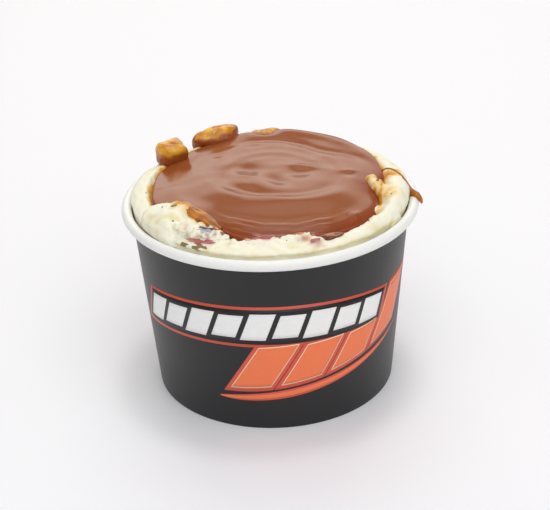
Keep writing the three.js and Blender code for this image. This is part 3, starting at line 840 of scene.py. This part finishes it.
rings, spokes = 170, 448
share = 1 - (1 - np.linspace(0.008, 1, rings)) ** 1.25
angle = np.linspace(0, 2 * math.pi, spokes, endpoint=False)[None]
edge_radius = gravy_radius(angle) + 0.25 * np.sin(7 * angle + 1) + 0.18 * np.sin(13 * angle + 2)
r = share[:, None] * (edge_radius - 0.9)
x, y = r * np.cos(angle), r * np.sin(angle)
top_height = gravy_height(x, y)
lip_turn = np.linspace(math.pi / 2, -math.pi / 2, 10)[:, None]
lip_r = edge_radius - 0.9 + 0.9 * np.cos(lip_turn)
lip_height = top_height[-1] - 0.9 + 0.9 * np.sin(lip_turn)
under_r = np.linspace(0.97, 0.01, 12)[:, None] * (edge_radius - 0.9)
under_height = np.minimum(top_height[-1] - 1.8, 2.2) - 0.6 + 0.6 * (under_r / edge_radius) ** 4
under_height = np.where(under_r < 30, np.minimum(under_height, 1.9), under_height)
stack_r = np.concatenate([under_r[::-1], lip_r[::-1], r[::-1][1:]])
stack_h = np.concatenate([under_height[::-1], lip_height[::-1], top_height[::-1][1:]])
gravy_rows = np.stack([stack_r * np.cos(angle), stack_r * np.sin(angle), RIM_TOP + stack_h], -1)
centre_height = float(gravy_height(np.zeros(1), np.zeros(1))[0])

# Gravy: dark stock and fat in a starch gel, milky brown where deep, clear red-amber where it thins
# out over the pale mash at its edge, with a wet gloss.
gravy_look = new_material("thick brown gravy")
where = add(gravy_look, "ShaderNodeTexCoord").outputs["Object"]
milk = add(gravy_look, "ShaderNodeTexNoise", {"Vector": where, "Scale": 120.0, "Detail": 4.0}).outputs["Fac"]
thin = add(gravy_look, "ShaderNodeAttribute", attribute_name="thin").outputs["Fac"]
body = add(gravy_look, "ShaderNodeMix", {
    "Factor": milk, "A": srgb("#8F4C25"), "B": srgb("#9C562B")}, data_type="RGBA").outputs["Result"]
shallow = add(gravy_look, "ShaderNodeMix", {
    "Factor": thin, "A": body, "B": srgb("#8C3A10")}, data_type="RGBA").outputs["Result"]
gloss = add(gravy_look, "ShaderNodeMapRange", {
    "Value": thin, "To Min": 0.2, "To Max": 0.12}).outputs["Result"]
ripple = add(gravy_look, "ShaderNodeBump", {
    "Height": milk, "Strength": 0.08, "Distance": 0.0004}).outputs["Normal"]
surface = add(gravy_look, "ShaderNodeBsdfPrincipled", {
    "Base Color": shallow, "Roughness": gloss, "IOR": 1.42,
    "Normal": ripple,
    "Subsurface Weight": 0.15,
    "Subsurface Radius": (1.0, 0.4, 0.2), "Subsurface Scale": 0.0012}).outputs["BSDF"]
add(gravy_look, "ShaderNodeOutputMaterial", {"Surface": surface})

gravy_points, gravy_faces = shell(gravy_rows, (0, 0, RIM_TOP + 1.3), (0, 0, RIM_TOP + centre_height))
gravy = build("gravy_pool", gravy_points, gravy_faces, gravy_look)
reach = np.hypot(gravy_points[:, 0], gravy_points[:, 1])
turn = np.arctan2(gravy_points[:, 1], gravy_points[:, 0])
margin = gravy_radius(turn) - reach
width = 1.6 + 3.4 * np.clip(-np.sin(turn - 0.75) * 1.3, 0, 1)
by_curl = near(
    gravy_points, [(28.6, 0.6, 4.4), (28.8, -3.0, 4.0), (30.4, -7.0, 3.4), (32.6, -11.0, 2.8)], 4.2)
paint(gravy, "thin", np.maximum(eased(np.clip(1 - margin / width, 0, 1)), np.clip(1.5 * by_curl, 0, 1)))
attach(gravy, "root")
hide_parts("gravy")

# ---- Gravy film, hollow and drip ---------------------------------------------------------------------
# Where gravy ran over the mash it lies as a clear amber film: down the scoop's flank, in the hollow
# behind the curled tongue, and along the ridge to a drip that hooks over the rolled rim.
film_look = new_material("thin amber gravy")
where = add(film_look, "ShaderNodeTexCoord").outputs["Object"]
streaks = add(film_look, "ShaderNodeTexNoise", {
    "Vector": where, "Scale": 380.0, "Detail": 3.0}).outputs["Fac"]
depth = add(film_look, "ShaderNodeAttribute", attribute_name="depth").outputs["Fac"]
amber = add(film_look, "ShaderNodeMix", {
    "Factor": streaks, "A": srgb("#BC6A1C"), "B": srgb("#DC9238")}, data_type="RGBA").outputs["Result"]
deep = add(film_look, "ShaderNodeMix", {
    "Factor": depth, "A": amber, "B": srgb("#6E3012")}, data_type="RGBA").outputs["Result"]
surface = add(film_look, "ShaderNodeBsdfPrincipled", {
    "Base Color": deep, "Roughness": 0.12, "IOR": 1.42, "Subsurface Weight": 0.2,
    "Subsurface Radius": (1.0, 0.4, 0.15), "Subsurface Scale": 0.0008}).outputs["BSDF"]
add(film_look, "ShaderNodeOutputMaterial", {"Surface": surface})


def film(name, piece, places, reach, thickness):
    """A closed skin over the faces of a piece near some places: the faces lifted along their normals
    by a thickness that eases to nothing at the film's edge, a copy sunk just under the surface, and
    a strip round the rim. Fine ridges run round the places, as gravy drags when it slides."""
    points, normals = vertices(piece)
    amount = eased(near(points, places, reach))
    quads = np.empty(len(piece.data.polygons) * 4, np.int32)
    piece.data.polygons.foreach_get("vertices", quads)
    quads = quads.reshape(-1, 4)
    quads = quads[(amount[quads] > 0.03).all(1) & (normals[quads, 2].mean(1) > -0.2)]
    used, index = np.unique(quads, return_inverse=True)
    quads = index.reshape(-1, 4)
    points, normals, amount = points[used], normals[used], amount[used]
    drag = 0.12 * np.sin(amount * 22) * amount
    top = points + normals * (0.02 + thickness * amount + drag)[:, None]
    edges = np.stack([quads, np.roll(quads, -1, 1)], -1).reshape(-1, 2)
    key, back_key = edges[:, 0] * len(used) + edges[:, 1], edges[:, 1] * len(used) + edges[:, 0]
    rim = edges[~np.isin(key, back_key)]
    strip = np.stack([rim[:, 1], rim[:, 0], rim[:, 0] + len(used), rim[:, 1] + len(used)], 1)
    faces = np.vstack([quads, quads[:, ::-1] + len(used), strip])
    made = build(name, np.vstack([top, points - normals * 0.12]), faces.tolist(), film_look)
    depth = np.clip(amount * 0.9 - 0.15 + 0.35 * gradient_noise(points, 2.6, 8), 0, 1)
    paint(made, "depth", np.tile(depth, 2))
    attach(made, "root")
    return made


def drape(inner, outer, rise, count=(26, 90)):
    """A skin of gravy pulled over an edge: a smooth sheet through five rows of points, tucked in
    under the inner row, over it, up by the rise between the two, over the outer row and down
    beyond it, with fine folds along its length. It is closed 0.35 mm below itself."""
    inner, outer = np.array(inner, float), np.array(outer, float)
    across = outer - inner
    across[:, 2] = 0
    across /= np.linalg.norm(across, axis=1)[:, None]
    rows = [
        inner - 0.9 * across - (0, 0, 1.0), inner, (inner + outer) / 2 + (0, 0, rise),
        outer + (0, 0, 0.25), outer + 1.0 * across - (0, 0, 0.9)]
    sheet = through(np.stack(rows), count[0])
    sheet = through(sheet.transpose(1, 0, 2), count[1]).transpose(1, 0, 2)
    v, u = np.linspace(0, 1, count[0])[:, None], np.linspace(0, 1, count[1])[None]
    folds = np.sin(2 * math.pi * (4.5 * v + 0.5 * np.sin(5 * u) + 0.15 * np.sin(17 * u)))
    sheet[..., 2] += RIM_TOP + 0.15 * folds * np.sin(math.pi * v) * np.sin(math.pi * u) ** 0.5
    points, faces = slab(sheet, sheet - (0, 0, 0.35))
    return points, faces, np.tile((v + 0 * u).ravel(), 2), np.tile(folds.ravel(), 2)


drape_points, drape_faces, across, folds = drape(
    [(-27.0, -18.2, 6.3), (-24.9, -20.1, 6.1), (-22.5, -22.5, 5.4), (-20.2, -25.2, 4.5), (-18.0, -27.6, 3.4),
     (-15.8, -29.2, 2.2)],
    [(-27.4, -12.8, 4.8), (-24.8, -14.8, 5.2), (-21.8, -17.4, 5.0), (-19.0, -20.4, 4.5), (-16.4, -23.6, 3.6),
     (-14.0, -27.0, 2.4)], 0.75)
scoop_film = build("film_on_scoop", drape_points, drape_faces, film_look)
# Painted shade on the scoop's film: darker in the troughs of its folds and towards and over its outer edge,
# with random mottling.
shade = 0.3 - 0.2 * folds + 0.6 * gradient_noise(drape_points, 3.0, 8)
shade = shade + 0.7 * eased(np.clip(across * 2.6 - 1.5, 0, 1))
paint(scoop_film, "depth", np.clip(shade, 0, 1))
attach(scoop_film, "root")
film("film_behind_tongue", heap, [(34.2, 2.6, 4.0), (33.6, 0.8, 4.0)], 2.0, 0.2)


def tube(path, radii, across=14):
    """A tube along a smooth path: at each point a circle of its radius square to the path, closed by
    a point at each end."""
    along = through(np.array(path, float)[:, None], 60)[:, 0]
    size = np.interp(np.linspace(0, 1, 60), np.linspace(0, 1, len(radii)), radii)
    heading = np.gradient(along, axis=0)
    heading /= np.linalg.norm(heading, axis=1)[:, None]
    side = np.cross(heading, (0.0, 0.0, 1.0))
    side /= np.linalg.norm(side, axis=1)[:, None]
    lift = np.cross(side, heading)
    turn = np.linspace(0, 2 * math.pi, across, endpoint=False)
    circle = side[:, None] * np.cos(turn)[None, :, None] + lift[:, None] * np.sin(turn)[None, :, None]
    rows = along[:, None] + circle * size[:, None, None]
    return shell(rows[:, ::-1], along[0] - heading[0] * size[0], along[-1] + heading[-1] * size[-1])


def on_surface(piece, x, y):
    """Height above the rim of a piece's top at (x, y), found by a ray dropped straight down."""
    tree = BVHTree.FromObject(piece, bpy.context.evaluated_depsgraph_get())
    hit = tree.ray_cast(Vector((x, y, 100)) * MM, Vector((0, 0, -1)))[0]
    return hit.z / MM - RIM_TOP


ridge_path = [(34.2, 6.4), (36.4, 5.6), (38.4, 4.2), (40.2, 1.6), (41.4, -1.4)]
ridge_points = [(x, y, RIM_TOP + on_surface(heap, x, y) + 0.05) for x, y in ridge_path]
drip_path = [
    (42.7, -2.4, RIM_TOP + 1.7), (43.8, -3.2, RIM_TOP + 0.5), (44.9, -4.4, RIM_TOP + 0.2),
    (45.8, -6.0, RIM_TOP - 0.5), (46.1, -7.0, RIM_TOP - 1.1)]
drip_radii = [0.26, 0.3, 0.26, 0.28, 0.34, 0.8, 1.15, 1.1, 0.7, 0.35]
drip_points, drip_faces = tube(ridge_points + drip_path, drip_radii)
drip = build("gravy_drip", drip_points, drip_faces, film_look)
paint(drip, "depth", 0.45 + 0.35 * gradient_noise(drip_points, 2.2, 9))
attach(drip, "root")

# Small pools of gravy at the front edge, with painted shade that darkens them towards their rims. The last,
# at the foot of the scoop, is dark brown all over: a painted shadow in the hollow there.
POOLS = [
    ((8.8, -32.4, 2.0), (2.7, 1.2, 0.7), 8, 0.3), ((17.6, -32.6, 1.5), (3.4, 2.0, 0.6), 26, 0.85),
    ((-6.9, -32.6, 0.9), (1.6, 0.9, 0.8), -8, 0.1), ((-14.4, -29.8, 1.5), (2.3, 1.5, 0.9), -42, 1.0)]
for i, (at, half, turn, base_darkness) in enumerate(POOLS):
    pool_points, pool_faces = lump(at, half, turn, seed=i, rough=0.1, rows=20, cols=40)
    pool = build(f"amber_pool_{i}", pool_points, pool_faces, film_look)
    out = np.hypot((pool_points[:, 0] - at[0]) / half[0], (pool_points[:, 1] - at[1]) / half[1])
    paint(pool, "depth", np.clip(base_darkness + 0.7 * out - 0.4, 0, 1))
    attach(pool, "root")

# ---- Potato skin and flecks ------------------------------------------------------------------------------
# Bits of red potato skin left in the mash: thin, leathery, curled at their edges, wine red outside,
# grey inside and olive where they browned; near-black flakes in the torn scoop, partly dark skin and
# partly painted shadow in its slit; and a few flecks of herb and pepper.


def flake(at, size, turn, tip, curl, seed):
    """A scrap of skin: an uneven oval, bent about its long axis by the curl, tipped and turned, built
    as a closed sheet 0.2 mm thick. Its middle is at (x, y, height above the rim)."""
    turns = np.linspace(0, 2 * math.pi, 28, endpoint=False)[:, None]
    out = np.linspace(0.05, 1, 7)[None]
    draw = np.random.default_rng(seed)
    ragged = 1 + 0.14 * np.sin(3 * turns + draw.uniform(0, 6)) + 0.09 * np.sin(7 * turns + draw.uniform(0, 6))
    u, v = out * ragged * np.cos(turns), out * ragged * np.sin(turns)
    bent = curl * size[1] * v ** 2 + 0.12 * size[0] * np.sin(2.6 * u + seed)
    local = np.stack([u * size[0], v * size[1], bent], -1)
    spin = np.array(Matrix.Rotation(math.radians(turn), 3, "Z") @ Matrix.Rotation(math.radians(tip), 3, "X"))
    centre = np.array([at[0], at[1], RIM_TOP + at[2]])
    face = local @ spin.T + centre
    thick = spin @ np.array([0, 0, 0.1])
    rows = np.concatenate([(face - thick).transpose(1, 0, 2), (face + thick).transpose(1, 0, 2)[::-1]])
    return shell(rows, centre - thick, centre + thick)


def skin_material(name, code, other):
    """Potato skin, cooked: a damp leathery sheen over blotches of two tones about 1 mm across."""
    made = new_material(name)
    spot = add(made, "ShaderNodeTexCoord").outputs["Object"]
    blotch = add(made, "ShaderNodeTexNoise", {"Vector": spot, "Scale": 800.0, "Detail": 3.0}).outputs["Fac"]
    tone = add(made, "ShaderNodeMix", {
        "Factor": blotch, "A": srgb(code), "B": srgb(other)}, data_type="RGBA").outputs["Result"]
    damp = add(made, "ShaderNodeBsdfPrincipled", {
        "Base Color": tone, "Roughness": 0.3, "IOR": 1.4, "Subsurface Weight": 0.1,
        "Subsurface Scale": 0.0006}).outputs["BSDF"]
    add(made, "ShaderNodeOutputMaterial", {"Surface": damp})
    return made


red_skin = skin_material("cooked red potato skin", "#9A4448", "#DA948C")
# Near-black flakes: partly dark skin, partly painted shadow laid in the slit of the torn scoop.
dark_skin_and_shadow = skin_material("near-black potato skin and painted shadow", "#2E2A30", "#6E6874")
pale_skin = skin_material("grey inner side of potato skin", "#A39DA6", "#E2DCDE")
olive_skin = skin_material("browned potato skin", "#6E6234", "#A89A5E")
SKINS = [
    ((-19.0, -27.6, 2.9), (2.5, 0.7), -8, 20, 0.3, red_skin),
    ((-18.6, -27.9, 2.7), (2.6, 0.9), -10, 55, 0.3, dark_skin_and_shadow),
    ((-17.7, -31.2, 3.3), (1.7, 0.9), -22, 50, 0.3, pale_skin),
    ((-20.0, -30.8, 3.8), (1.3, 0.6), -16, 58, 0.3, pale_skin),
    ((-18.5, -30.2, 4.1), (2.2, 0.5), -20, 30, 0.3, dark_skin_and_shadow),
    ((-21.8, -33.2, 1.9), (2.6, 0.6), -24, 50, 0.4, red_skin),
    ((-18.4, -33.8, 1.6), (2.2, 0.6), -12, 40, 0.3, red_skin),
    ((-21.0, -34.8, 1.2), (1.8, 0.7), -30, 60, 0.2, red_skin),
    ((-24.8, -33.6, 0.9), (1.9, 0.6), -34, 65, 0.3, olive_skin),
    ((-20.6, -36.2, 0.9), (2.3, 0.8), -20, 60, 0.3, olive_skin),
    ((-1.8, -34.6, 2.2), (3.4, 1.1), 4, 62, 0.15, red_skin),
    ((-6.2, -33.6, 1.2), (1.2, 0.7), -10, 45, 0.2, pale_skin),
    ((12.4, -36.6, 2.3), (1.6, 0.5), 25, 40, 0.2, red_skin),
    ((-28.6, -18.8, 6.5), (1.7, 0.35), 6, 10, 0.2, olive_skin),
    ((-14.6, -29.6, 1.7), (1.6, 0.6), -20, 30, 0.2, olive_skin)]
for i, (at, size, turn, tip, curl, look) in enumerate(SKINS):
    skin_points, skin_faces = flake(at, size, turn, tip, curl, i)
    skin = build(f"potato_skin_{i}", skin_points, skin_faces, look)
    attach(skin, "root")

fleck_look = skin_material("dried herb and pepper", "#3A3418", "#6A5A34")
flecks = [(32.9, -4.6, 0.45), (36.4, -12.0, 0.2), (28.6, -27.4, 0.22), (4.4, -36.2, 0.18), (-37.8, -2.0, 0.2)]
groups = []
for i, (x, y, size) in enumerate(flecks):
    groups.append(flake((x, y, on_surface(heap, x, y) + 0.08), (size, size * 0.6), 40 * i, 8, 0.2, i + 50))
for i, (x, y) in enumerate([(-28.4, -26.4), (-31.8, -19.0)]):
    groups.append(flake((x, y, on_surface(scoop, x, y) + 0.08), (0.3, 0.2), 70 * i, 12, 0.2, i + 80))
fleck_points = np.vstack([part[0] for part in groups])
starts = np.cumsum([0] + [len(part[0]) for part in groups[:-1]])
fleck_faces = [[corner + start for corner in face] for part, start in zip(groups, starts) for face in part[1]]
herbs = build("herb_and_pepper", fleck_points, fleck_faces, fleck_look)
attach(herbs, "root")

# ---- Potato chunks -------------------------------------------------------------------------------------
# Diced potato that was cooked in the gravy and pushed to the back edge: cut faces gone soft, corners
# rounded, under a clear amber glaze that pools brown round their feet.
glaze_look = new_material("potato under amber glaze")
where = add(glaze_look, "ShaderNodeTexCoord").outputs["Object"]
patches = add(glaze_look, "ShaderNodeTexNoise", {
    "Vector": where, "Scale": 260.0, "Detail": 3.0}).outputs["Fac"]
fine = add(glaze_look, "ShaderNodeTexNoise", {"Vector": where, "Scale": 900.0, "Detail": 3.0}).outputs["Fac"]
foot = add(glaze_look, "ShaderNodeAttribute", attribute_name="foot").outputs["Fac"]
contrast = add(glaze_look, "ShaderNodeMapRange", {
    "Value": patches, "From Min": 0.35, "From Max": 0.65}).outputs["Result"]
flesh = add(glaze_look, "ShaderNodeMix", {
    "Factor": contrast, "A": srgb("#D4821A"), "B": srgb("#FCC848")}, data_type="RGBA").outputs["Result"]
glazed = add(glaze_look, "ShaderNodeMix", {
    "Factor": foot, "A": flesh, "B": srgb("#9A4C1A")}, data_type="RGBA").outputs["Result"]
relief = add(glaze_look, "ShaderNodeBump", {
    "Height": fine, "Strength": 0.2, "Distance": 0.0002}).outputs["Normal"]
surface = add(glaze_look, "ShaderNodeBsdfPrincipled", {
    "Base Color": glazed, "Roughness": 0.24, "IOR": 1.42, "Normal": relief,
    "Subsurface Weight": 0.25, "Subsurface Radius": (1.0, 0.5, 0.2),
    "Subsurface Scale": 0.0012}).outputs["BSDF"]
add(glaze_look, "ShaderNodeOutputMaterial", {"Surface": surface})

for node_name, shape, seed, foot_height in (
        ("potato_chunk_left", dict(half=(4.7, 4.4, 3.8), turn=27, boxy=0.6, tip=2), 11, 2.5),
        ("potato_chunk_middle", dict(half=(8.6, 4.1, 3.8), turn=24, boxy=0.92, tip=-4), 12, 2.0),
        ("potato_chunk_back", dict(half=(6.4, 3.2, 2.6), turn=2, boxy=0.85), 13, 0.3)):
    low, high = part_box(node_name)
    middle = (low + high) / 2 / MM
    chunk_points, chunk_faces = lump(
        (middle.x, middle.y, middle.z - RIM_TOP), seed=seed, rows=60, cols=96, **shape)
    chunk = build(node_name + "_glazed", chunk_points, chunk_faces, glaze_look)
    points, normals = vertices(chunk)
    wear = 0.45 * gradient_noise(points, 4.0, seed) + 0.12 * gradient_noise(points, 1.3, seed + 9)
    points = points + normals * wear[:, None]
    move(chunk, points)
    rise = (points[:, 2] - RIM_TOP - gravy_edge(np.arctan2(points[:, 1], points[:, 0])) + 0.6) / 1.7
    low_down = foot_height - rise + 0.5 * gradient_noise(points, 2.5, seed + 3)
    patch = np.clip(0.6 + gradient_noise(points, 3.5, seed + 5), 0, 1)
    on_top = 0.55 * np.clip((normals[:, 2] - 0.45) * 3, 0, 1) * patch
    paint(chunk, "foot", np.maximum(eased(np.clip(low_down, 0, 1)), on_top))
    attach(chunk, "root")
    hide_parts(node_name)

# ---- Setting -----------------------------------------------------------------------------------------
# A plain pale table that runs out of sight; a broad softbox in front, a panel and a small softbox
# overhead, and a low panel behind that lays a sheen on the gravy. They aren't part of the object.
floor_look = new_material("pale table")
surface = add(floor_look, "ShaderNodeBsdfPrincipled", {
    "Base Color": srgb("#FAFAFE"), "Roughness": 0.6}).outputs["BSDF"]
add(floor_look, "ShaderNodeOutputMaterial", {"Surface": surface})
floor_points = np.array([[-3000, -3000, 0], [3000, -3000, 0], [3000, 3000, 0], [-3000, 3000, 0]], float)
floor = build("table", floor_points, [[0, 1, 2, 3]], floor_look, smooth=False)


def soft_light(name, at, aim, size, power, tint=(1.0, 1.0, 1.0)):
    """A rectangular area light at a place, facing a point, both in metres."""
    data = bpy.data.lights.new(name, "AREA")
    data.shape = "RECTANGLE"
    data.size, data.size_y = size
    data.energy = power
    data.color = tint
    lamp = bpy.data.objects.new(name, data)
    bpy.context.scene.collection.objects.link(lamp)
    facing = (Vector(aim) - Vector(at)).to_track_quat("-Z", "Y").to_matrix().to_4x4()
    lamp.matrix_world = Matrix.Translation(at) @ facing


soft_light("front softbox", (0.2, -0.9, 1.4), (0, 0, 0.05), (1.8, 1.8), 15.0)
soft_light("top panel", (0.0, 0.6, 1.25), (0, 0, 0.06), (0.9, 0.5), 1.8, (1.0, 0.94, 0.84))
soft_light("overhead softbox", (0.05, 0.1, 1.2), (0, 0, 0.05), (0.2, 0.2), 1.9)
soft_light("back panel", (0.0, 1.1, 0.6), (0, 0, 0.06), (1.1, 0.6), 3.3, (1.0, 0.93, 0.82))
world = bpy.data.worlds.new("studio")
bpy.context.scene.world = world
world.use_nodes = True
world.node_tree.nodes["Background"].inputs["Color"].default_value = (1.0, 1.0, 1.0, 1.0)
world.node_tree.nodes["Background"].inputs["Strength"].default_value = 0.385
bpy.context.scene.view_settings.view_transform = "Standard"
